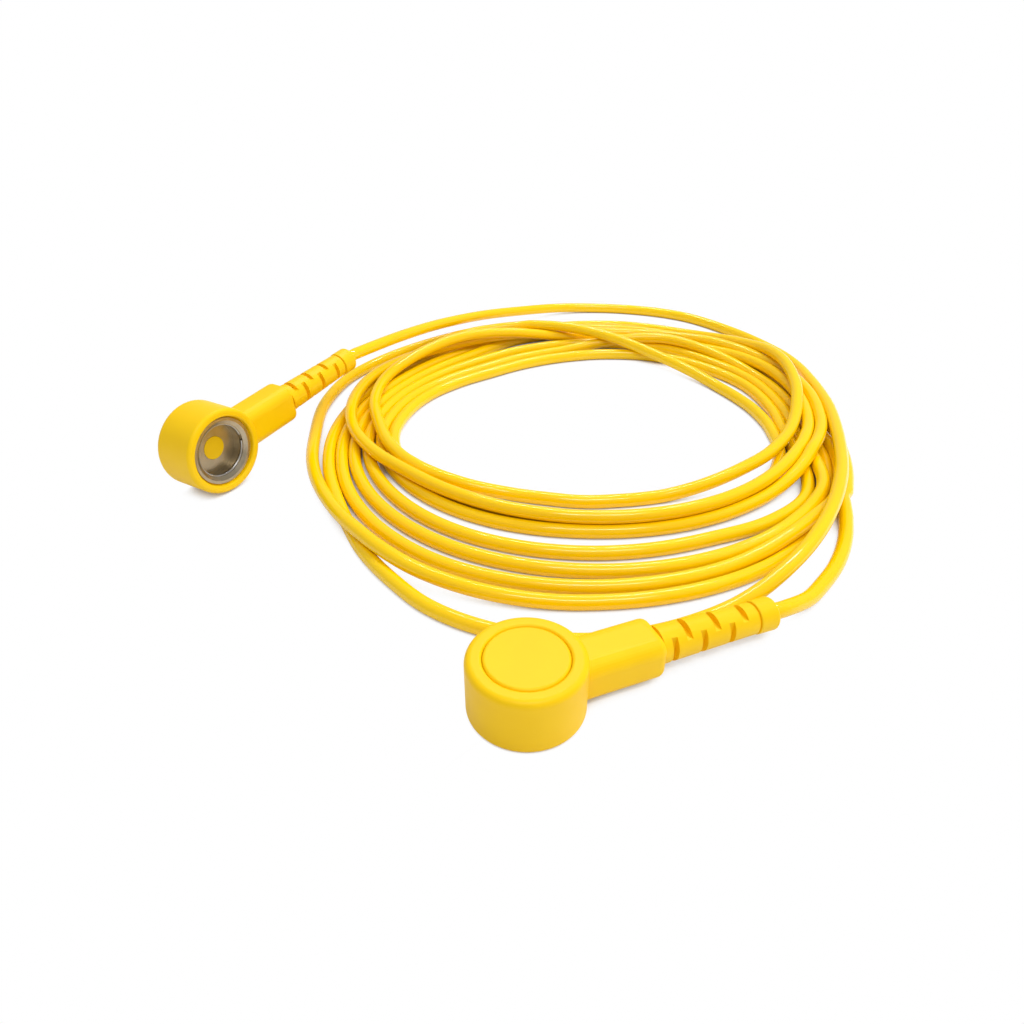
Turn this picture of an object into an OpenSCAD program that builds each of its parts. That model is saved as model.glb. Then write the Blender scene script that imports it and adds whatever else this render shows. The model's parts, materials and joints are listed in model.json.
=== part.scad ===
// Grounding lead of a wrist-strap set: a coiled cord with the same moulded snap plug at each end.
// Millimetres, +Z up. The origin is the middle of the near plug's mouth, on the surface it stands on.
// Each plug is drawn in its own frame: mouth at z = 0, cap on top, nose along +X.

/* [Plug head] */
// Outer diameter of the round head
head_d = 18; // [17.2:0.1:20]
// Height of the head from mouth to cap
head_h = 10; // [9.8:0.1:12]
// Rounding of the head's edge around the cap
head_round = 1.1; // [0.4:0.1:1.5]
// Rounding of the head's outer edge around the mouth
mouth_round = 0.8; // [0.3:0.1:1]
// Rounding of the mouth's inner lip
lip_round = 0.4; // [0.2:0.1:0.6]

/* [Cap] */
// Diameter of the cap disc
cap_d = 12.8; // [12.2:0.1:13.2]
// Thickness of the cap disc
cap_t = 1.3; // [1:0.1:2]
// Rounding of the cap's edge
cap_round = 0.45; // [0.2:0.05:0.6]
// Rounding of the head's edge that faces the cap across the ring groove
pocket_round = 0.45; // [0.2:0.05:0.6]

/* [Nose] */
// Width of the nose that leaves the head
nose_w = 8.4; // [8:0.1:9]
// Height of the nose
nose_h = 7.4; // [7.2:0.1:8]
// Rounding of the nose's long edges
nose_corner = 2.3; // [1.8:0.1:2.6]
// Length of the nose from the head's side to its shoulder
nose_len = 12.5; // [12:0.5:18]
// Height of the nose's axis above the mouth
nose_z = 4.3; // [4.3:0.1:4.6]
// Rounding of the nose's shoulder
nose_round = 1.3; // [0.8:0.1:1.4]
// Radius of the gusset's hollow side, on the left between head and nose
gusset_r = 10; // [8:0.5:12]
// Height of the gusset above the nose's axis
gusset_h = 3; // [2:0.1:3.2]

/* [Strain relief] */
// Diameter of the boot at the shoulder
boot_d = 6.2; // [5.8:0.1:6.6]
// Diameter of the boot before its collar
boot_tip_d = 5.3; // [5:0.1:5.6]
// Length of the boot from shoulder to collar
boot_len = 18.3; // [18:0.1:24]
// Diameter of the end collar
collar_d = 5.6; // [5.2:0.1:6]
// Length of the end collar
collar_len = 3.7; // [3.2:0.1:5]
// Rounding of the collar's end
collar_round = 0.5; // [0.2:0.1:0.8]
// Rounding of the collar's edge at the groove
collar_edge = 0.2; // [0.1:0.05:0.4]
// Width of the thin groove before the collar
neck_w = 0.35; // [0.2:0.05:0.6]
// Depth of the thin groove before the collar
neck_depth = 0.3; // [0.1:0.05:0.4]
// Width of each flex slot
slot_w = 1.05; // [0.7:0.05:1.2]
// Distance from the shoulder to the first pair of slots
slot_first = 2.1; // [1.8:0.1:2.8]
// Distance from one pair of slots to the next, turned by 90 degrees
slot_pitch = 2.65; // [2.2:0.05:2.75]
// Number of slot pairs
slot_count = 6; // [4:1:6]
// Distance from the boot's axis to the floor of a slot
slot_floor = 1.75; // [1.7:0.05:2]
// Length of the root that anchors the boot in the nose
root_len = 2; // [1.5:0.1:2.2]
// Diameter of the root that anchors the boot in the nose
root_d = 5; // [4.4:0.1:5.2]

/* [Snap socket] */
// Diameter of the socket's bore, which takes a 10 mm stud
bore_d = 10.5; // [10.2:0.05:10.8]
// Thickness of the socket's sheet metal
sheet_t = 0.45; // [0.3:0.05:0.5]
// Diameter of the socket's rim
rim_d = 14; // [13.6:0.1:14.2]
// Gap between the rim and the moulded lip
rim_gap = 0.35; // [0.2:0.05:0.5]
// Width of the rim's flat face
rim_flat = 0.6; // [0.4:0.05:0.7]
// Depth of the rim behind the mouth
rim_z = 0.7; // [0.4:0.05:0.9]
// Height of the socket's floor above the mouth
floor_z = 3.6; // [3.4:0.1:4]
// Diameter of the hole in the socket's floor
eye_d = 5; // [4.4:0.1:5.2]
// Height of the flared lead-in above the rim
flare_h = 0.6; // [0.4:0.05:0.7]
// Width of the ledge that holds the ring spring
ledge_w = 0.2; // [0.15:0.05:0.25]
// Height of the groove that holds the ring spring
groove_h = 0.6; // [0.55:0.05:0.8]
// Thickness of the ring spring's wire
wire_d = 0.5; // [0.3:0.05:0.5]
// Opening angle of the ring spring
spring_open = 16; // [8:1:40]

/* [Inner parts] */
// Diameter of the terminal tag
tag_d = 9.6; // [8:0.1:10]
// Thickness of the terminal tag
tag_t = 0.4; // [0.3:0.05:0.6]
// Diameter of the series resistor
resistor_d = 2.3; // [2:0.1:2.5]
// Length of the series resistor
resistor_len = 6.3; // [5.5:0.1:6.4]
// Rounding of the resistor's ends
resistor_round = 0.4; // [0.2:0.05:0.6]
// Depth of the resistor's waist between its swollen ends
resistor_waist = 0.15; // [0.05:0.05:0.3]
// Diameter of the resistor's wires
wire_lead_d = 0.6; // [0.4:0.05:0.7]
// Diameter of the crimp ferrule
ferrule_d = 1.9; // [1.7:0.1:2.1]
// Length of the crimp ferrule
ferrule_len = 3; // [2.4:0.1:3.2]
// Depth of the crimp marks in the ferrule
crimp_depth = 0.15; // [0.05:0.05:0.25]
// Length of bare wire beside the resistor and the ferrule
bare_wire = 0.6; // [0.4:0.05:0.65]
// Diameter of the cord's bared conductor
core_wire_d = 1; // [0.8:0.1:1.1]

/* [Cord] */
// Outer diameter of the cord
cord_d = 2.8; // [2.6:0.1:3]
// Outer diameter of the coil
coil_d = 122; // [118:1:122]
// Diameter of the coil's open middle
coil_hole_d = 78; // [60:1:84]
// Height of the coil
coil_h = 9.4; // [7:0.1:12]
// Bevel of the coil's edges
coil_bevel = 1; // [0.5:0.1:1.2]

/* [Places] */
// Direction of the near plug's nose, seen from above
near_turn = 22.4; // [20:0.1:24]
// Droop of the near boot
near_droop = 1.7; // [0:0.1:2.5]
// Place of the far plug's mouth along X
far_x = -60.8; // [-62:0.1:-60]
// Place of the far plug's mouth along Y
far_y = 59.6; // [59:0.1:60]
// Direction of the far plug's nose, seen from above
far_turn = 59; // [58:0.1:60]
// Rise of the far plug's nose
far_rise = 5; // [4:0.1:6]
// Backward lean of the far plug's mouth
far_lean = 2; // [0:0.1:4]

/* [Hidden] */
$fn = 48;
fine = 24;
hull_fine = 32;
// Clearance between pieces that fit into each other
fit_gap = 0.05;
// Extra radius of the ball where two round stretches meet at a bend
knee_extra = 0.12;
// Depth by which blended bodies reach into each other
bite = 0.2;
// Length by which a cut runs past the surface that it opens
overrun = 1;

// Socket, from the sheet's sizes
head_r = head_d / 2;
bore_r = bore_d / 2;
rim_r = rim_d / 2;
lip_r = rim_r + rim_gap;
flare_z = rim_z + flare_h;
groove_r = bore_r + wire_d + fit_gap;
throat_r = groove_r - ledge_w;
groove_top = flare_z + groove_h;
roof_z = floor_z + sheet_t;

// Stack above the socket: tag, core and cap
cap_r = cap_d / 2;
pocket_r = cap_r + fit_gap;
core_top = head_h - cap_t;
post_r = eye_d / 2 - fit_gap;
post_z = floor_z - fit_gap;
tag_top = roof_z + tag_t;

// Nose, from the resistor outwards
nose_side = nose_w / 2;
nose_end = head_r + nose_len;
lead_r = wire_lead_d / 2;
lead_z = tag_top + lead_r;
lead_slot = wire_lead_d + 4 * fit_gap;
wire_start = (eye_d + tag_d) / 4;
wire_knee = pocket_r - 8 * fit_gap;
resistor_x = head_r + bare_wire;
resistor_end = resistor_x + resistor_len;
ferrule_x = resistor_end + bare_wire;
ferrule_mid = ferrule_x + ferrule_len / 2;
ferrule_end = ferrule_x + ferrule_len;
cord_x = ferrule_end + bare_wire;
way_r = resistor_d / 2 + fit_gap;

// Boot and cord end
cord_r = cord_d / 2;
sleeve_r = cord_r + fit_gap;
boot_start = 0.2;
plug_reach = boot_len + collar_len;

// Far plug: the height that sets its tilted head on the surface
far_z = head_r + head_h * sin(far_lean);

// Where each cord leaves its collar, and in which direction
near_out = spin(near_turn, [cos(near_droop), 0, -sin(near_droop)]);
near_exit = spin(near_turn, [nose_end, 0, nose_z]) + plug_reach * near_out;
far_out = far_turned([1, 0, 0]);
far_exit = [far_x, far_y, far_z] + far_turned([nose_end, 0, nose_z]) + plug_reach * far_out;

// Route of the near lead: out of the collar, down and along the surface to the coil
near_points = [
    near_exit,
    near_exit + 3 * near_out,
    [48.3, 21.8, 2.1],
    [52.3, 26.2, 1.6],
    [56.6, 31.7, 1.4],
    [60.3, 38, 1.4],
    [63.2, 45, 1.4],
    [65.8, 54, 1.4]
];

// Route of the far lead: from under the coil around the front, over the coil's edge and back to the plug
far_points = [
    [-36.4, 43.2, 1.4],
    [-33.5, 38, 1.4],
    [-28.5, 32, 1.4],
    [-21.5, 24.5, 1.4],
    [-14, 19, 1.4],
    [-5.5, 14.8, 1.4],
    [3, 12.6, 1.4],
    [12, 12.3, 1.4],
    [20.5, 14, 1.4],
    [27.5, 16.5, 1.4],
    [34.5, 19.6, 1.9],
    [40.2, 22.6, 3.3],
    [46.1, 27.1, 5],
    [51.7, 33, 6],
    [57, 40.5, 6.3],
    [62, 49.5, 6.4],
    [66.3, 59.6, 6.2],
    [70.3, 73, 5.7],
    [73.5, 87, 4.9],
    [74.8, 97, 4.2],
    [75.4, 107, 3.5],
    [75.2, 118, 2.8],
    [72.9, 129, 2.2],
    [66.5, 143.5, 1.5],
    [57, 155.5, 1.4],
    [49, 161.5, 1.4],
    [38.5, 165.5, 1.4],
    [26.5, 167.5, 1.4],
    [13.5, 166, 2],
    [0.5, 159, 3.5],
    [-11.5, 148, 6],
    [-22.5, 133, 9],
    [-31.5, 117.3, 11.6],
    far_exit + 3 * far_out,
    far_exit
];

// Middle of the coil
coil_x = 11;
coil_y = 84;

// Colours
yellow = [1, 0.8, 0];
yellow_deep = [0.95, 0.74, 0];
nickel = [0.72, 0.68, 0.6];
steel = [0.62, 0.62, 0.62];
tin = [0.75, 0.75, 0.74];
copper = [0.8, 0.45, 0.25];
ceramic_blue = [0.35, 0.6, 0.7];

// Turns vector v about Z by angle a
function spin(a, v) = [v[0] * cos(a) - v[1] * sin(a), v[0] * sin(a) + v[1] * cos(a), v[2]];

// Turns vector v from the plug's own frame into the far plug's lie
function far_turned(v) =
    let (a = -90 - far_lean)
    let (w = [v[0], v[1] * cos(a) - v[2] * sin(a), v[1] * sin(a) + v[2] * cos(a)])
    let (u = [w[0] * cos(far_rise) - w[2] * sin(far_rise), w[1], w[0] * sin(far_rise) + w[2] * cos(far_rise)])
    spin(far_turn, u);

// Catmull-Rom point at half way between points i and i + 1 of list p
function half_way(p, i) =
    let (before = p[max(i - 1, 0)])
    let (after = p[min(i + 2, len(p) - 1)])
    (9 * (p[i] + p[i + 1]) - before - after) / 16;

// The points of p with one more between each two, apart from the straight end stretches
function with_halves(p) = [
    for (i = [0 : len(p) - 1])
        each i < len(p) - 1 && norm(p[i + 1] - p[i]) > 6 ? [p[i], half_way(p, i)] : [p[i]]
];

// Unit direction of the route at point i
function heading(p, i) =
    let (d = p[min(i + 1, len(p) - 1)] - p[max(i - 1, 0)])
    d / norm(d);

// Ring of eight points around point i, square to the route
function ring(p, i, r) =
    let (t = heading(p, i))
    let (side = cross(t, [0, 0, 1]) / norm(cross(t, [0, 0, 1])))
    let (up = cross(side, t))
    [for (k = [0 : 7]) p[i] + r * (cos(45 * k) * side + sin(45 * k) * up)];

// Round tube along the points of p
module tube(p, r) {
    points = [for (i = [0 : len(p) - 1]) each ring(p, i, r)];
    last = 8 * (len(p) - 1);
    walls = [
        for (i = [0 : len(p) - 2])
            for (k = [0 : 7])
                [8 * i + k, 8 * i + (k + 1) % 8, 8 * i + 8 + (k + 1) % 8, 8 * i + 8 + k]
    ];
    start = [for (k = [7 : -1 : 0]) k];
    end = [for (k = [0 : 7]) last + k];
    polyhedron(points, concat(walls, [start, end]), convexity = 8);
}

// Lays its child along X
module along_x(x, z) {
    translate([x, 0, z]) rotate([0, 90, 0]) children();
}

// Cylinder along X from x0 to x1 at height z
module rod_x(x0, x1, z, r) {
    along_x(x0, z) cylinder(r = r, h = x1 - x0, $fn = fine);
}

// Half profile of a disc of radius r from z0 to z1 with rounded bottom and top edges
module edge_profile(r, z0, z1, bottom, top) {
    translate([0, z0 + bottom]) square([r, z1 - z0 - bottom - top]);
    if (bottom > 0) translate([0, z0]) square([r - bottom, 2 * bottom]);
    if (top > 0) translate([0, z1 - 2 * top]) square([r - top, 2 * top]);
    if (bottom > 0) translate([r - bottom, z0 + bottom]) circle(r = bottom, $fn = fine);
    if (top > 0) translate([r - top, z1 - top]) circle(r = top, $fn = fine);
}

// Round body about Z with rounded edges
module rounded_disc(r, z0, z1, bottom, top) {
    rotate_extrude() intersection() {
        edge_profile(r, z0, z1, bottom, top);
        translate([0, z0]) square([r, z1 - z0]);
    }
}

// Gusset that stiffens the nose's root: it fills the corner between head and nose, hollow in plan
module gusset() {
    reach = head_r + gusset_r - bite;
    cy = nose_side + gusset_r - 2 * bite;
    cx = sqrt(reach * reach - cy * cy);
    hx = cx * head_r / reach - bite;
    hy = cy * head_r / reach - bite;
    translate([0, 0, nose_z]) linear_extrude(gusset_h) difference() {
        polygon([[0, 0], [cx, 0], [cx, nose_side / 2], [hx, hy], [0, hy]]);
        translate([cx, cy]) circle(r = gusset_r);
    }
}

// Path of the inner wire from the tag to the resistor
module inner_wire(r) {
    rise = lead_z - nose_z;
    rod_x(wire_start, wire_knee, lead_z, r);
    translate([wire_knee, 0, lead_z]) sphere(r = r + knee_extra, $fn = fine);
    translate([wire_knee, 0, lead_z]) rotate([0, 135, 0]) cylinder(r = r, h = sqrt(2) * rise, $fn = fine);
    translate([wire_knee + rise, 0, nose_z]) sphere(r = r + knee_extra, $fn = fine);
    rod_x(wire_knee + rise, resistor_x, nose_z, r);
}

// Turns its child about the middle of the shoulder by the boot's droop
module bent(droop) {
    translate([nose_end, 0, nose_z]) rotate([0, droop, 0]) translate([-nose_end, 0, -nose_z]) children();
}

// Path of the cord from its cut end in the nose to the face of the collar
module cord_way(r, droop, tail) {
    rod_x(cord_x - tail, nose_end, nose_z, r);
    if (droop > 0) translate([nose_end, 0, nose_z]) sphere(r = r + knee_extra, $fn = fine);
    bent(droop) rod_x(nose_end, nose_end + plug_reach + tail, nose_z, r);
}

// Sheet-metal cup with flared rim, spring groove, bore and pierced floor
module socket() {
    color(nickel) rotate_extrude() polygon([
        [eye_d / 2, floor_z], [bore_r, floor_z], [bore_r, groove_top], [groove_r, groove_top],
        [groove_r, flare_z], [throat_r, flare_z], [throat_r, flare_z - fit_gap], [rim_r - rim_flat, rim_z],
        [rim_r, rim_z], [rim_r, rim_z + sheet_t], [groove_r + sheet_t, flare_z],
        [groove_r + sheet_t, groove_top + sheet_t], [bore_r + sheet_t, groove_top + sheet_t],
        [bore_r + sheet_t, roof_z], [eye_d / 2, roof_z]
    ]);
}

// Room that the socket takes in the moulding
module socket_room() {
    rotate_extrude() polygon([
        [0, -overrun], [lip_r, -overrun], [lip_r, rim_z + sheet_t / 2], [rim_r + fit_gap, rim_z + sheet_t],
        [groove_r + sheet_t + fit_gap, flare_z + fit_gap],
        [groove_r + sheet_t + fit_gap, groove_top + sheet_t + fit_gap],
        [bore_r + sheet_t + fit_gap, groove_top + sheet_t + fit_gap],
        [bore_r + sheet_t + fit_gap, roof_z + fit_gap], [0, roof_z + fit_gap]
    ]);
}

// Rounded block of the nose, from inside the head to its shoulder
module nose_block() {
    across = nose_side - nose_corner;
    upward = nose_h / 2 - nose_corner;
    hull() for (y = [-across, across]) for (z = [-upward, upward]) translate([0, y, 0])
        along_x(bore_r, nose_z + z)
            rounded_disc(nose_corner, 0, nose_end - bore_r, 0, nose_round, $fn = hull_fine);
}

// Over-moulded head with nose
module shell() {
    color(yellow) difference() {
        union() {
            rounded_disc(head_r, 0, head_h, mouth_round, head_round);
            gusset();
            nose_block();
        }
        socket_room();
        // Rounded inner lip of the mouth
        rotate_extrude() difference() {
            translate([lip_r - overrun, -overrun]) square([overrun + lip_round, overrun + lip_round]);
            translate([lip_r + lip_round, lip_round]) circle(r = lip_round, $fn = fine);
        }
        // Pocket of core and cap, with its rounded edge
        translate([0, 0, roof_z]) cylinder(r = pocket_r, h = head_h);
        rotate_extrude() difference() {
            translate([pocket_r - overrun, head_h - pocket_round])
                square([overrun + pocket_round, overrun + pocket_round]);
            translate([pocket_r + pocket_round, head_h - pocket_round]) circle(r = pocket_round, $fn = fine);
        }
        // Way of the inner wire
        translate([pocket_r - overrun, -lead_slot / 2, nose_z - lead_slot / 2])
            cube([resistor_x - pocket_r + overrun, lead_slot, lead_z - nose_z + lead_slot]);
        rod_x(resistor_x - fit_gap, cord_x, nose_z, way_r);
        rod_x(cord_x - fit_gap, nose_end, nose_z, sleeve_r);
        rod_x(nose_end - root_len - fit_gap, nose_end + overrun, nose_z, root_d / 2 + fit_gap);
    }
}

// Plain disc that closes the head
module cap() {
    color(yellow) rounded_disc(cap_r, core_top, head_h, 0, cap_round);
}

// Split ring of spring wire in the socket's groove
module spring() {
    color(steel) rotate([0, 0, spring_open / 2])
        translate([0, 0, (flare_z + groove_top) / 2])
            rotate_extrude(angle = 360 - spring_open)
                translate([bore_r + wire_d / 2 + fit_gap / 2, 0]) circle(d = wire_d, $fn = fine);
}

// Inner moulding: fills the head above the socket, its post shows in the socket's eye
module core() {
    color(yellow_deep) difference() {
        union() {
            translate([0, 0, roof_z]) cylinder(r = pocket_r - fit_gap, h = core_top - roof_z);
            translate([0, 0, post_z]) cylinder(r = post_r, h = roof_z - post_z + fit_gap, $fn = fine);
        }
        difference() {
            translate([0, 0, roof_z - fit_gap]) cylinder(d = tag_d + 2 * fit_gap, h = tag_t + 2 * fit_gap);
            cylinder(r = post_r, h = head_h, $fn = fine);
        }
        translate([wire_start - lead_r, -lead_slot / 2, roof_z - overrun])
            cube([pocket_r, lead_slot, overrun + tag_t + wire_lead_d + 2 * fit_gap]);
    }
}

// Terminal washer between socket and core
module tag() {
    color(tin) difference() {
        translate([0, 0, roof_z]) cylinder(d = tag_d, h = tag_t);
        translate([0, 0, roof_z - overrun]) cylinder(d = eye_d, h = tag_t + 2 * overrun);
    }
}

// Series resistor with its two swollen ends
module resistor() {
    end_len = resistor_len / 4;
    color(ceramic_blue) union() {
        along_x(resistor_x, nose_z)
            rounded_disc(resistor_d / 2, 0, end_len, resistor_round, resistor_waist, $fn = fine);
        along_x(resistor_end - end_len, nose_z)
            rounded_disc(resistor_d / 2, 0, end_len, resistor_waist, resistor_round, $fn = fine);
        rod_x(resistor_x + end_len / 2, resistor_end - end_len / 2, nose_z, resistor_d / 2 - resistor_waist);
    }
}

// Wire from the tag to the resistor
module lead_in() {
    color(tin) inner_wire(lead_r);
}

// Wire from the resistor into the ferrule
module lead_out() {
    color(tin) rod_x(resistor_end, ferrule_mid - 2 * fit_gap, nose_z, lead_r);
}

// Crimp ferrule that joins the resistor's wire and the cord's conductor
module ferrule() {
    color(tin) difference() {
        rod_x(ferrule_x, ferrule_end, nose_z, ferrule_d / 2);
        rod_x(ferrule_x - overrun, ferrule_mid, nose_z, lead_r + fit_gap);
        rod_x(ferrule_mid - fit_gap, ferrule_end + overrun, nose_z, core_wire_d / 2 + fit_gap);
        // Crimp mark around each half of the ferrule
        for (side = [-1, 1]) along_x(ferrule_mid + side * ferrule_len / 4, nose_z) rotate_extrude($fn = fine)
            translate([ferrule_d / 2, 0]) circle(r = crimp_depth, $fn = fine);
    }
}

// Bared conductor of the cord
module conductor() {
    color(copper) rod_x(ferrule_mid + fit_gap, cord_x, nose_z, core_wire_d / 2);
}

// Stretch of the cord's jacket that is held in nose and boot
module cord_end(droop) {
    color(yellow) cord_way(cord_r, droop, 0);
}

// Tapered boot with slots cut in turn from the sides and from above and below, and an end collar
module boot(droop) {
    color(yellow) difference() {
        union() {
            rod_x(nose_end - root_len, nose_end + 3 * boot_start, nose_z, root_d / 2);
            bent(droop) {
                along_x(nose_end + boot_start, nose_z)
                    cylinder(r1 = boot_d / 2, r2 = boot_tip_d / 2, h = boot_len - boot_start);
                along_x(nose_end + boot_len, nose_z)
                    rounded_disc(collar_d / 2, 0, collar_len, collar_edge, collar_round);
            }
        }
        cord_way(sleeve_r, droop, overrun);
        bent(droop) {
            for (i = [0 : slot_count - 1]) for (side = [0, 180])
                translate([nose_end + slot_first + i * slot_pitch, 0, nose_z])
                    rotate([side + (i % 2 == 0 ? 90 : 0), 0, 0])
                        translate([-slot_w / 2, -boot_d, slot_floor]) cube([slot_w, 2 * boot_d, boot_d]);
            along_x(nose_end + boot_len - neck_w, nose_z) difference() {
                cylinder(r = collar_d, h = neck_w);
                translate([0, 0, -overrun]) cylinder(r = boot_tip_d / 2 - neck_depth, h = neck_w + 2 * overrun);
            }
        }
    }
}

// The near plug stands on its mouth
module near_lie() {
    rotate([0, 0, near_turn]) children();
}

// The far plug lies on the side of its head
module far_lie() {
    translate([far_x, far_y, far_z]) rotate([-90 - far_lean, -far_rise, far_turn]) children();
}

module near_shell() { near_lie() shell(); }
module near_cap() { near_lie() cap(); }
module near_socket() { near_lie() socket(); }
module near_spring() { near_lie() spring(); }
module near_core() { near_lie() core(); }
module near_tag() { near_lie() tag(); }
module near_resistor() { near_lie() resistor(); }
module near_lead_in() { near_lie() lead_in(); }
module near_lead_out() { near_lie() lead_out(); }
module near_ferrule() { near_lie() ferrule(); }
module near_conductor() { near_lie() conductor(); }
module near_cord_end() { near_lie() cord_end(near_droop); }
module near_boot() { near_lie() boot(near_droop); }

module far_shell() { far_lie() shell(); }
module far_cap() { far_lie() cap(); }
module far_socket() { far_lie() socket(); }
module far_spring() { far_lie() spring(); }
module far_core() { far_lie() core(); }
module far_tag() { far_lie() tag(); }
module far_resistor() { far_lie() resistor(); }
module far_lead_in() { far_lie() lead_in(); }
module far_lead_out() { far_lie() lead_out(); }
module far_ferrule() { far_lie() ferrule(); }
module far_conductor() { far_lie() conductor(); }
module far_cord_end() { far_lie() cord_end(0); }
module far_boot() { far_lie() boot(0); }

// Outer shape of the coiled turns: a low mound, one turn high at its outer edge
module cord_coil() {
    outer = coil_d / 2;
    inner = coil_hole_d / 2;
    color(yellow) translate([coil_x, coil_y, 0]) rotate_extrude() polygon([
        [inner + coil_bevel, 0], [outer - coil_bevel, 0], [outer, coil_bevel], [outer, cord_r],
        [outer - coil_bevel, cord_d], [outer - cord_r, cord_d], [outer - 3 * cord_r, 2 * cord_d],
        [outer - 3 * cord_d, coil_h], [inner + 1.5 * cord_d, coil_h], [inner, 2 * cord_d], [inner, coil_bevel]
    ]);
}

module cord_lead_near() {
    color(yellow) tube(with_halves(near_points), cord_r);
}

module cord_lead_far() {
    color(yellow) tube(with_halves(far_points), cord_r);
}

near_shell();
near_cap();
near_socket();
near_spring();
near_core();
near_tag();
near_resistor();
near_lead_in();
near_lead_out();
near_ferrule();
near_conductor();
near_cord_end();
near_boot();
far_shell();
far_cap();
far_socket();
far_spring();
far_core();
far_tag();
far_resistor();
far_lead_in();
far_lead_out();
far_ferrule();
far_conductor();
far_cord_end();
far_boot();
cord_coil();
cord_lead_near();
cord_lead_far();
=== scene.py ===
"""Dresses a grounding lead: a loose coil of glossy cord with a moulded snap plug at each end.

Metres, +Z up.
"""

import json
import math

import bpy
import numpy as np
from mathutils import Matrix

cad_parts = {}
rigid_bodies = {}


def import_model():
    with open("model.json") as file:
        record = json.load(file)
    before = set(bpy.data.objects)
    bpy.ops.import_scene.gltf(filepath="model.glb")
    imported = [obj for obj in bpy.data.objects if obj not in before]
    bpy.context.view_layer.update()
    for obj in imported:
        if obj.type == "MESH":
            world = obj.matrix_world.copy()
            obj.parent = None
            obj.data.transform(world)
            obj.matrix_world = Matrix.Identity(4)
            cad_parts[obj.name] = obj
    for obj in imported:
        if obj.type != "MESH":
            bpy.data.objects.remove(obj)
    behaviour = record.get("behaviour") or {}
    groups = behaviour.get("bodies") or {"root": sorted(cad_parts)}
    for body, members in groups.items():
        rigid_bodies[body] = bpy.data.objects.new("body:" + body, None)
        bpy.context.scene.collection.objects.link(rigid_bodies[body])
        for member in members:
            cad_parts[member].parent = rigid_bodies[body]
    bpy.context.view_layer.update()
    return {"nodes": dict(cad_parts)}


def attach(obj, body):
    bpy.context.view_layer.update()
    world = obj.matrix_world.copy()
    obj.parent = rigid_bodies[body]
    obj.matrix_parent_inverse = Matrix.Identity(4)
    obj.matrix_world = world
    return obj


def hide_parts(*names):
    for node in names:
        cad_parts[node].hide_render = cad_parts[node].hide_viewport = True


for leftover in list(bpy.data.objects):
    bpy.data.objects.remove(leftover)
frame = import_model()


# ---- Camera -------------------------------------------------------------------------------------
# It stands just in front of the near plug and looks down on it at 34 degrees, so close that the cord
# at the back of the coil looks clearly thinner than in front.

camera_data = bpy.data.cameras.new("camera")
camera_data.sensor_width = 36
camera_data.lens = 27.53
camera_data.clip_start = 0.01
camera = bpy.data.objects.new("camera", camera_data)
camera.location = (-0.0021, -0.0804, 0.0892)
camera.rotation_euler = (math.radians(55.9), 0, 0)
bpy.context.scene.collection.objects.link(camera)
bpy.context.scene.camera = camera


# ---- Cord: its lay ------------------------------------------------------------------------------
# One stranded wire in a PVC jacket, 2.8 mm thick and about 3.3 m long. It leaves the near plug, lies in
# a loose flat coil of nine turns that cross each other as they were wound by hand, and runs round the
# front and over the coil's right edge to the far plug.

cord_d = 0.0028
cord_r = cord_d / 2
near_exit = (0.040209, 0.016573, 0.003647)
far_exit = (-0.042158, 0.098969, 0.012991)

near_lead = [
    near_exit,
    (0.042981, 0.017716, 0.003558),
    (0.0483, 0.0218, 0.0021),
    (0.0523, 0.0262, 0.0016),
    (0.0566, 0.0317, 0.0014),
    (0.0603, 0.0380, 0.0014),
    (0.0632, 0.0450, 0.0014),
    (0.0658, 0.0540, 0.0014),
]
far_lead = [
    (-0.0140, 0.0190, 0.0014),
    (-0.0055, 0.0148, 0.0014),
    (0.0030, 0.0126, 0.0014),
    (0.0120, 0.0123, 0.0014),
    (0.0205, 0.0140, 0.0014),
    (0.0275, 0.0165, 0.0014),
    (0.0345, 0.0196, 0.0019),
    (0.0402, 0.0226, 0.0033),
    (0.0461, 0.0271, 0.0050),
    (0.0517, 0.0330, 0.0060),
    (0.0570, 0.0405, 0.0063),
    (0.0620, 0.0495, 0.0064),
    (0.0663, 0.0596, 0.0062),
    (0.0703, 0.0730, 0.0057),
    (0.0735, 0.0870, 0.0049),
    (0.0748, 0.0970, 0.0042),
    (0.0754, 0.1070, 0.0035),
    (0.0752, 0.1180, 0.0028),
    (0.0729, 0.1290, 0.0022),
    (0.0665, 0.1435, 0.0015),
    (0.0570, 0.1555, 0.0014),
    (0.0490, 0.1615, 0.0014),
    (0.0385, 0.1655, 0.0014),
    (0.0265, 0.1675, 0.0014),
    (0.0135, 0.1660, 0.0020),
    (0.0005, 0.1590, 0.0035),
    (-0.0115, 0.1480, 0.0060),
    (-0.0225, 0.1330, 0.0090),
    (-0.0315, 0.1173, 0.0116),
    (-0.040619, 0.101531, 0.013252),
    far_exit,
]

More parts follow.
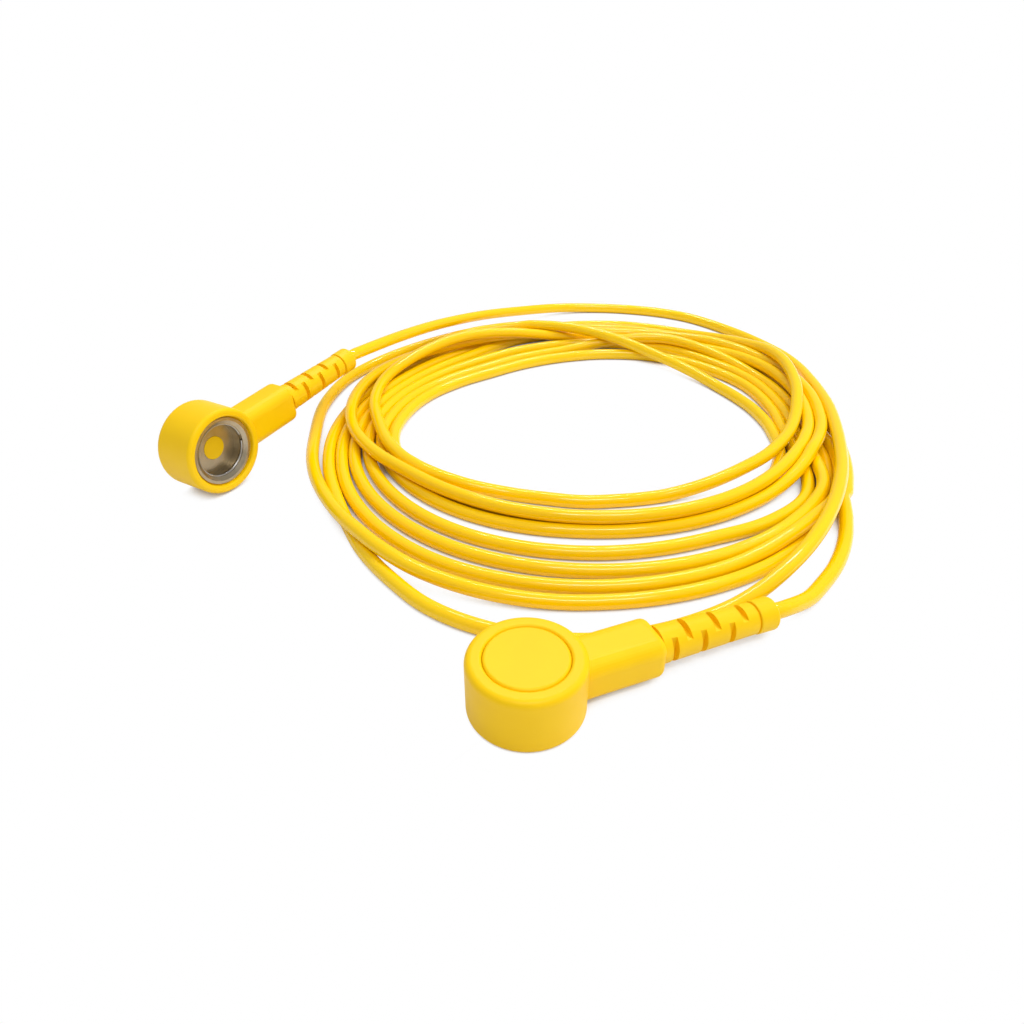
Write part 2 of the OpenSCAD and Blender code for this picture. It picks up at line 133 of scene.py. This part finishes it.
# Each turn of the coil, from the near plug on: its radius in twelve directions, anticlockwise from the
# right, and which layer of turns it lies in there. The last one ends where the far lead starts.
coil_centre = (0.012, 0.082)
directions = 12
layer_height = 0.0026
turns = [
    ((0.0604, 0.0656, 0.0694, 0.0654, 0.0562, 0.0525, 0.0530, 0.0546, 0.0563, 0.0563, 0.0572, 0.0596),
     (0, 0, 0, 0, 0, 0, 0, 0, 0, 0, 0, 1)),
    ((0.0574, 0.0628, 0.0666, 0.0622, 0.0524, 0.0496, 0.0502, 0.0508, 0.0513, 0.0517, 0.0536, 0.0576),
     (0, 0, 0, 0, 0, 0, 0, 0, 0, 0, 0, 1)),
    ((0.0528, 0.0582, 0.0606, 0.0546, 0.0482, 0.0468, 0.0474, 0.0469, 0.0465, 0.0463, 0.0481, 0.0540),
     (0, 0, 0, 0, 0, 0, 0, 0, 0, 0, 0, 0)),
    ((0.0508, 0.0542, 0.0525, 0.0452, 0.0400, 0.0412, 0.0419, 0.0396, 0.0372, 0.0365, 0.0394, 0.0456),
     (0, 0, 0, 0, 0, 0, 0, 0, 0, 0, 0, 0)),
    ((0.0482, 0.0476, 0.0500, 0.0570, 0.0642, 0.0658, 0.0602, 0.0596, 0.0618, 0.0602, 0.0594, 0.0578),
     (0, 0, 1, 2, 1, 0, 0, 1, 1, 0, 0, 0)),
    ((0.0556, 0.0610, 0.0605, 0.0498, 0.0434, 0.0440, 0.0447, 0.0423, 0.0400, 0.0391, 0.0420, 0.0484),
     (0, 0, 1, 0, 0, 0, 0, 0, 0, 0, 0, 0)),
    ((0.0582, 0.0655, 0.0655, 0.0605, 0.0558, 0.0568, 0.0512, 0.0418, 0.0382, 0.0382, 0.0412, 0.0474),
     (1, 1, 0, 0, 1, 1, 1, 1, 1, 1, 1, 1)),
    ((0.0566, 0.0632, 0.0630, 0.0585, 0.0556, 0.0538, 0.0452, 0.0400, 0.0302, 0.0291, 0.0314, 0.0398),
     (1, 1, 1, 1, 2, 1, 1, 1, 0, 0, 0, 1)),
    ((0.0518, 0.0650, 0.0732, 0.0686, 0.0602, 0.0562, 0.0554, 0.0572, 0.0658),
     (1, 2, 0, 0, 0, 0, 0, 0, 0)),
]


def smooth_through(stations, steps):
    """Points of a smooth curve through all stations, with the given number of steps between each two."""
    stations = np.array(stations, float)
    padded = np.vstack([stations[:1], stations, stations[-1:]])
    before, start, end, after = padded[:-3], padded[1:-2], padded[2:-1], padded[3:]
    t = np.linspace(0, 1, steps, endpoint=False)[:, None, None]
    bends = 2 * start + (end - before) * t
    bends += (2 * before - 5 * start + 4 * end - after) * t**2
    bends += (3 * start - before - 3 * end + after) * t**3
    points = (bends / 2).transpose(1, 0, 2).reshape(-1, stations.shape[1])
    return np.vstack([points, stations[-1:]])


def distance_along(points):
    """How far along the line each of its points lies."""
    return np.r_[0, np.cumsum(np.linalg.norm(np.diff(points, axis=0), axis=1))]


def evenly_spaced(points, step):
    """The same line with its points one step apart."""
    along = distance_along(points)
    wanted = np.linspace(0, along[-1], int(round(along[-1] / step)) + 1)
    return np.stack([np.interp(wanted, along, points[:, k]) for k in range(points.shape[1])], 1)


def wound_turns():
    """The turns as they are laid down, before they sink onto each other."""
    radii = np.array([radius for turn, _ in turns for radius in turn])
    layers = np.array([layer for _, turn in turns for layer in turn])
    angles = 2 * math.pi / directions * np.arange(len(radii))
    spiral = smooth_through(np.stack([angles, radii, layers], 1), steps=2)
    angle, radius, layer = spiral.T
    return np.stack([
        coil_centre[0] + radius * np.cos(angle),
        coil_centre[1] + radius * np.sin(angle),
        cord_r + layer_height * np.maximum(layer, 0),
    ], 1)


def nearest_approach(starts, steps, other_starts, other_steps):
    """For pairs of short straight stretches: how far along each its closest point lies, from 0 to 1."""
    parallel = 1e-15
    between = starts - other_starts
    own = (steps * steps).sum(1)
    other = (other_steps * other_steps).sum(1)
    shared = (steps * other_steps).sum(1)
    own_lead = (steps * between).sum(1)
    other_lead = (other_steps * between).sum(1)
    spread = own * other - shared * shared
    crossing = (shared * other_lead - own_lead * other) / np.maximum(spread, parallel)
    along = np.where(spread > parallel, crossing, 0.5).clip(0, 1)
    other_along = ((shared * along + other_lead) / other).clip(0, 1)
    along = ((shared * other_along - own_lead) / own).clip(0, 1)
    return along, other_along


def near_stretches(line, free):
    """Pairs of stretches that may soon touch, apart from close neighbours along the cord."""
    close = cord_d + 0.0032
    neighbours = 5
    middle = (line[1:] + line[:-1]) / 2
    apart = ((middle[:, None] - middle[None]) ** 2).sum(-1)
    i, j = np.nonzero(np.triu(apart < close**2, neighbours))
    can_move = free[i] + free[j] + free[i + 1] + free[j + 1] > 0
    return i[can_move], j[can_move]


def push_apart(line, free, i, j):
    """How far each point moves so that touching stretches come to lie one cord's thickness apart."""
    least_distance = 1e-9
    least_give = 1e-6
    s, t = nearest_approach(line[i], line[i + 1] - line[i], line[j], line[j + 1] - line[j])
    here = line[i] + (line[i + 1] - line[i]) * s[:, None]
    there = line[j] + (line[j + 1] - line[j]) * t[:, None]
    distance = np.linalg.norm(here - there, axis=1)
    touching = distance < cord_d
    away = (here - there)[touching] / np.maximum(distance[touching], least_distance)[:, None]
    shares = [(i, 1 - s, 1), (i + 1, s, 1), (j, 1 - t, -1), (j + 1, t, -1)]
    shares = [(index[touching], share[touching], sign) for index, share, sign in shares]
    give = sum(free[index] * share**2 for index, share, _ in shares)
    push = (cord_d - distance[touching]) / np.maximum(give, least_give)
    shift = np.zeros_like(line)
    hits = np.zeros(len(line))
    for index, share, sign in shares:
        np.add.at(shift, index, sign * away * (push * free[index] * share)[:, None])
        np.add.at(hits, index, free[index] * share > 0)
    return shift / np.maximum(hits, 1)[:, None]


def settle(laid, free, drop=0.00005, stiffness=0.5, grip=0.92):
    """Lets the laid line sink, stiff as a wire is, until each stretch rests on the table or on another."""
    rounds = 200
    sinking_rounds = 160
    rounds_between_looks = 6
    pushes = 3
    line = laid.copy()
    window = np.hanning(13)[1:-1]
    window /= window.sum()
    edge = len(window) // 2
    for done in range(rounds):
        sinking = done < sinking_rounds
        line[:, 2] -= drop * free * sinking
        moved = np.pad(line - laid, ((edge, edge), (0, 0)), mode="edge")
        even = np.stack([np.convolve(moved[:, k], window, "valid") for k in range(3)], 1)
        moved = moved[edge:-edge]
        moved += (even - moved) * stiffness * free[:, None]
        moved[:, :2] *= grip if sinking else 1
        line = laid + moved
        if done % rounds_between_looks == 0:
            i, j = near_stretches(line, free)
        for _ in range(pushes):
            line += push_apart(line, free, i, j)
            line[:, 2] = np.where(free > 0, np.maximum(line[:, 2], cord_r), line[:, 2])
    return line


def cord_line():
    """The centreline of the whole cord: both leads as laid, and the turns between them settled."""
    steps = 10
    settling_step = 0.002
    ring_step = 0.0012
    held = 0.001
    wound = wound_turns()
    path = smooth_through(np.vstack([near_lead, wound, far_lead]), steps)
    along = distance_along(path)
    coil_start = along[(len(near_lead) - 1) * steps]
    coil_end = along[(len(near_lead) + len(wound)) * steps]
    laid = evenly_spaced(path, settling_step)
    at = np.linspace(0, along[-1], len(laid))
    free = ((at > coil_start + held) & (at < coil_end - held)).astype(float)
    return evenly_spaced(smooth_through(settle(laid, free), steps=4), ring_step)


def round_tube(name, line, radius, facets):
    """A round tube along a line. Its attribute straight holds its points as if it were pulled straight."""
    heading = np.gradient(line, axis=0)
    heading /= np.linalg.norm(heading, axis=1)[:, None]
    side = np.cross(heading[0], (0, 0, 1))
    sides = []
    for direction in heading:
        side = side - direction * (side @ direction)
        side /= np.linalg.norm(side)
        sides.append(side)
    side = np.array(sides)
    up = np.cross(side, heading)
    angle = 2 * math.pi * np.arange(facets) / facets
    ring = side[:, None] * np.cos(angle)[None, :, None] + up[:, None] * np.sin(angle)[None, :, None]
    points = (line[:, None] + radius * ring).reshape(-1, 3)
    faces = []
    for i in range(len(line) - 1):
        here = i * facets
        there = here + facets
        for k in range(facets):
            after = (k + 1) % facets
            faces.append((here + k, here + after, there + after, there + k))
    faces.append(tuple(range(facets))[::-1])
    faces.append(tuple((len(line) - 1) * facets + k for k in range(facets)))
    mesh = bpy.data.meshes.new(name)
    mesh.from_pydata(points.tolist(), [], faces)
    mesh.shade_smooth()
    straight = np.stack([
        np.tile(radius * np.cos(angle), len(line)),
        np.tile(radius * np.sin(angle), len(line)),
        np.repeat(distance_along(line), facets),
    ], 1)
    mesh.attributes.new("straight", "FLOAT_VECTOR", "POINT").data.foreach_set(
        "vector", straight.astype(np.float32).ravel()
    )
    tube = bpy.data.objects.new(name, mesh)
    bpy.context.scene.collection.objects.link(tube)
    return tube


line = cord_line()
cord = round_tube("cord", line, cord_r, facets=20)
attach(cord, "root")
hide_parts("cord_coil", "cord_lead_near", "cord_lead_far")


# ---- Cord: its jacket ---------------------------------------------------------------------------
# Extruded PVC, dyed through and glossy. The die leaves hair-fine lines along it, and the wires inside
# make its surface swell a little here and there.

class Wire:
    """One output of a material's nodes. Sums and products with it add the Math nodes that work them out."""

    def __init__(self, tree, socket):
        self.tree = tree
        self.socket = socket

    def __add__(self, other):
        return math_node(self.tree, "ADD", self, other)

    def __mul__(self, other):
        return math_node(self.tree, "MULTIPLY", self, other)

    __radd__ = __add__
    __rmul__ = __mul__


def math_node(tree, operation, *values):
    return add_node(tree, "ShaderNodeMath", {"operation": operation}, dict(enumerate(values)))


def add_node(tree, kind, settings, sockets, output=0):
    """Adds any node: its settings first, then its sockets' values or links, by name or by number."""
    node = tree.nodes.new(kind)
    for name, value in settings.items():
        setattr(node, name, value)
    for key, value in sockets.items():
        feed(tree, node.inputs[key], value)
    return Wire(tree, node.outputs[output])


def feed(tree, socket, value):
    """Links a wire to a socket, or sets the socket's own value."""
    if isinstance(value, Wire):
        tree.links.new(value.socket, socket)
    else:
        socket.default_value = value


def new_finish(name, **sockets):
    """A material with the given constants on its shader; returns it with its node tree and shader."""
    material = bpy.data.materials.new(name)
    material.use_nodes = True
    shader = material.node_tree.nodes["Principled BSDF"]
    for key, value in sockets.items():
        shader.inputs[key.replace("_", " ").title().replace("Ior", "IOR")].default_value = value
    return material, material.node_tree, shader


def noise(tree, place, scale, detail=2.0, roughness=0.5):
    sockets = {"Vector": place, "Scale": scale, "Detail": detail, "Roughness": roughness}
    return add_node(tree, "ShaderNodeTexNoise", {}, sockets)


def mix_colours(tree, factor, first, second):
    """A colour between two. The Mix node's colour sockets share names with others, so numbers call them."""
    sockets = {0: factor, 6: (*first, 1), 7: (*second, 1)}
    return add_node(tree, "ShaderNodeMix", {"data_type": "RGBA"}, sockets, output=2)


def scaled(tree, place, scale):
    return add_node(tree, "ShaderNodeVectorMath", {"operation": "MULTIPLY"}, {0: place, 1: scale})


def cord_jacket():
    material, tree, shader = new_finish("cord_jacket", specular_ior_level=0.45)
    place = add_node(tree, "ShaderNodeAttribute", {"attribute_name": "straight"}, {}, output="Vector")
    dye = noise(tree, scaled(tree, place, (1, 1, 0.25)), scale=180.0, detail=3.0)
    die_lines = noise(tree, scaled(tree, place, (1, 1, 0.01)), scale=4200.0)
    swell = noise(tree, scaled(tree, place, (1, 1, 0.5)), scale=260.0, detail=1.0)
    scuffs = noise(tree, scaled(tree, place, (1, 1, 0.3)), scale=900.0, detail=4.0, roughness=0.65)
    feed(tree, shader.inputs["Base Color"], mix_colours(tree, dye, (0.97, 0.59, 0.0), (1.0, 0.67, 0.0)))
    feed(tree, shader.inputs["Roughness"], 0.10 + 0.06 * scuffs)
    height = 0.6 * swell + 0.06 * die_lines + 0.05 * scuffs
    bump = add_node(tree, "ShaderNodeBump", {}, {"Strength": 0.06, "Distance": 0.0001, "Height": height})
    feed(tree, shader.inputs["Normal"], bump)
    return material


cord.data.materials.append(cord_jacket())


# ---- Plug bodies --------------------------------------------------------------------------------
# Head, nose, cap and boot are moulded in satin PVC over the metal parts. The mould's fine erosion
# texture takes the gloss off the surface. The cord's end in the boot shows only at the collar's face,
# and takes the same finish.

def dress(node, material):
    mesh = frame["nodes"][node].data
    mesh.materials.clear()
    mesh.materials.append(material)


def moulded(name, first, second):
    material, tree, shader = new_finish(name, specular_ior_level=0.25)
    place = add_node(tree, "ShaderNodeTexCoord", {}, {}, output="Object")
    flow = noise(tree, place, scale=160.0, detail=3.0)
    grain = noise(tree, place, scale=5200.0, roughness=0.6)
    feed(tree, shader.inputs["Base Color"], mix_colours(tree, flow, first, second))
    feed(tree, shader.inputs["Roughness"], 0.36 + 0.14 * grain)
    height = 0.5 * flow + 0.12 * grain
    bump = add_node(tree, "ShaderNodeBump", {}, {"Strength": 0.4, "Distance": 0.0001, "Height": height})
    feed(tree, shader.inputs["Normal"], bump)
    return material


moulding = moulded("moulding", (0.94, 0.57, 0.0), (1.0, 0.64, 0.0))
for node in ("shell", "cap", "boot", "cord_end"):
    for end in ("near", "far"):
        dress(f"{end}_{node}", moulding)


# ---- Inner moulding -----------------------------------------------------------------------------
# Fills the head above the socket. Its post shows as a dot in the socket's eye.

inner_moulding = moulded("inner_moulding", (0.82, 0.50, 0.0), (0.90, 0.57, 0.0))
for end in ("near", "far"):
    dress(f"{end}_core", inner_moulding)


# ---- Sockets ------------------------------------------------------------------------------------
# Deep-drawn brass, plated with dull nickel. Handling leaves the plating blotched, duller in some places than
# in others, and finely roughened. Both of its colours are darker and warmer than nickel is: besides the
# plating's own dullness, they hold a painted reflection of the yellow plastic around the cup and painted
# shade of the socket's hollow.

def plated(name, tint, dark):
    material, tree, shader = new_finish(name, metallic=1.0)
    place = add_node(tree, "ShaderNodeTexCoord", {}, {}, output="Object")
    stain = noise(tree, place, scale=420.0, detail=4.0, roughness=0.6)
    wear = noise(tree, place, scale=3800.0)
    feed(tree, shader.inputs["Base Color"], mix_colours(tree, stain, dark, tint))
    feed(tree, shader.inputs["Roughness"], 0.24 + 0.22 * stain)
    bump = add_node(tree, "ShaderNodeBump", {}, {"Strength": 0.25, "Distance": 0.00005, "Height": wear})
    feed(tree, shader.inputs["Normal"], bump)
    return material


# Partly painted light: these warm, dark colours paint in the yellow plastic mirrored in the cup and the
# shade inside it.
nickel = plated("nickel", (0.60, 0.52, 0.39), (0.34, 0.28, 0.18))
for end in ("near", "far"):
    dress(f"{end}_socket", nickel)


# ---- Springs, terminals and wires ---------------------------------------------------------------
# The split ring is spring steel. Tag and ferrule are tinned brass, the resistor's wires tinned copper
# and the cord's own strands bare copper.

spring_steel = plated("spring_steel", (0.60, 0.60, 0.61), (0.45, 0.45, 0.46))
tinned_brass = plated("tinned_brass", (0.72, 0.72, 0.70), (0.55, 0.55, 0.52))
tinned_wire = plated("tinned_wire", (0.74, 0.74, 0.74), (0.60, 0.60, 0.60))
copper = plated("copper", (0.80, 0.42, 0.24), (0.62, 0.28, 0.15))
metal_of = {
    "spring": spring_steel, "tag": tinned_brass, "ferrule": tinned_brass,
    "lead_in": tinned_wire, "lead_out": tinned_wire, "conductor": copper,
}
for end in ("near", "far"):
    for node, metal in metal_of.items():
        dress(f"{end}_{node}", metal)


# ---- Series resistors ---------------------------------------------------------------------------
# A small film resistor on a ceramic rod, which limits the current through the wearer. Its lacquer is
# as satin as the mouldings.

resistor_body = moulded("resistor_body", (0.08, 0.26, 0.36), (0.10, 0.32, 0.42))
for end in ("near", "far"):
    dress(f"{end}_resistor", resistor_body)


# ---- Table and light ----------------------------------------------------------------------------
# A wide pale table that runs out of view on all sides. It is seen white in the open, and shaded where
# plugs and turns close it in.

def pale_table():
    material, tree, shader = new_finish("pale_table", roughness=0.8, specular_ior_level=0.1)
    shader.inputs["Base Color"].default_value = (0.88, 0.88, 0.88, 1)
    seen = add_node(tree, "ShaderNodeLightPath", {}, {}, output="Is Camera Ray")
    open_sky = add_node(tree, "ShaderNodeAmbientOcclusion", {"samples": 8}, {"Distance": 0.004}, output="AO")
    open_range = {"Value": open_sky, "From Min": 0.15, "From Max": 0.45}
    open_ground = add_node(tree, "ShaderNodeMapRange", {}, open_range)
    white = add_node(tree, "ShaderNodeEmission", {}, {"Color": (1, 1, 1, 1)})
    diffuse = Wire(tree, shader.outputs["BSDF"])
    mixed = add_node(tree, "ShaderNodeMixShader", {}, {0: seen * open_ground, 1: diffuse, 2: white})
    feed(tree, tree.nodes["Material Output"].inputs["Surface"], mixed)
    return material


table_mesh = bpy.data.meshes.new("table")
reach = 20.0
table_mesh.from_pydata(
    [(-reach, -reach, 0), (reach, -reach, 0), (reach, reach, 0), (-reach, reach, 0)], [], [(0, 1, 2, 3)]
)
table_mesh.materials.append(pale_table())
table = bpy.data.objects.new("table", table_mesh)
bpy.context.scene.collection.objects.link(table)


# ---- Lamps --------------------------------------------------------------------------------------
# A soft lamp on the right, which the gloss doesn't mirror, and two long thin ones overhead, which draw
# the double streaks along the front turns. A pale sky fills the rest and is seen white.

def soft_light(name, place, aim, size, power):
    data = bpy.data.lights.new(name, "AREA")
    data.shape = "RECTANGLE"
    data.size, data.size_y = size
    data.energy = power
    light = bpy.data.objects.new(name, data)
    light.location = place
    away = np.array(place) - np.array(aim)
    tilt = math.atan2(math.hypot(away[0], away[1]), away[2])
    turned = math.atan2(away[0], -away[1])
    light.rotation_euler = (tilt, 0, turned)
    bpy.context.scene.collection.objects.link(light)
    return light


right_lamp = soft_light("right_lamp", (0.50, 0.15, 0.55), aim=(0.012, 0.05, 0), size=(0.40, 0.40), power=2.6)
right_lamp.visible_glossy = False
front_turns = (0.012, 0.03, 0)
strip_size = (0.45, 0.025)
soft_light("back_strip", (0.08, 0.50, 0.65), aim=front_turns, size=strip_size, power=1.9)
soft_light("top_strip", (0.08, -0.28, 0.74), aim=front_turns, size=strip_size, power=1.9)

world = bpy.data.worlds.new("sky")
world.use_nodes = True
sky = world.node_tree
background = sky.nodes["Background"]
background.inputs["Color"].default_value = (1, 1, 1, 1)
background.inputs["Strength"].default_value = 0.45
pale_sky = Wire(sky, background.outputs["Background"])
white_sky = add_node(sky, "ShaderNodeBackground", {}, {"Color": (1, 1, 1, 1)})
seen_sky = add_node(sky, "ShaderNodeLightPath", {}, {}, output="Is Camera Ray")
both_skies = add_node(sky, "ShaderNodeMixShader", {}, {0: seen_sky, 1: pale_sky, 2: white_sky})
feed(sky, sky.nodes["World Output"].inputs["Surface"], both_skies)
bpy.context.scene.world = world
bpy.context.scene.view_settings.view_transform = "Standard"
